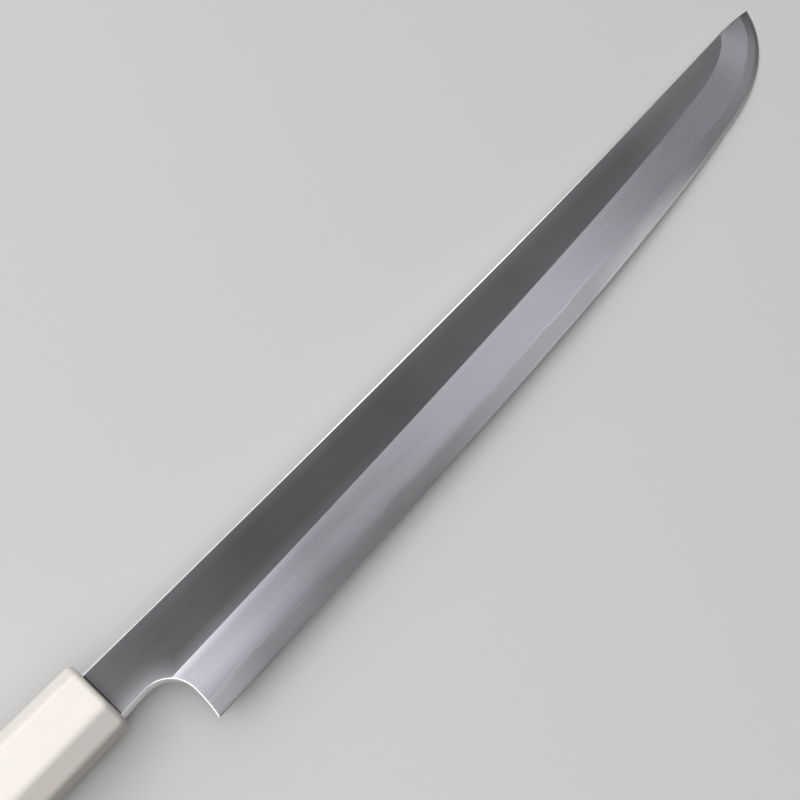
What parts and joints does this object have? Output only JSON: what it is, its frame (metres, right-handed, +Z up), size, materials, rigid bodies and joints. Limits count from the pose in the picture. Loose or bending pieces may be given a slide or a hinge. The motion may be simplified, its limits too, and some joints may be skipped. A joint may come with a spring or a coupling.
{
  "type": "sakimaru takohiki knife",
  "caption": "Long single-bevel Japanese slicing knife with a rounded sword-like tip, a laminated blade with a hollow back, and an octagonal off-white handle, for slicing raw fish.",
  "frame": {"origin": "middle of the knife's footprint as it lies flat on its back, on the surface it lies on", "axes": "+X from the handle to the tip, +Y from the edge to the spine, +Z up, out of the bevelled front face"},
  "size_m": [0.453, 0.0424, 0.0234],
  "materials": {
    "soft_iron": "satin, darker on the flat and misty on the bevel",
    "hard_steel": "fine stone finish",
    "adhesive": "matt, hidden in the socket",
    "handle_resin": "satin off-white"
  },
  "bodies": {
    "root": {"blade_body": "soft_iron", "edge_steel": "hard_steel", "tang_bedding": "adhesive", "handle": "handle_resin"}
  },
  "joints": []
}
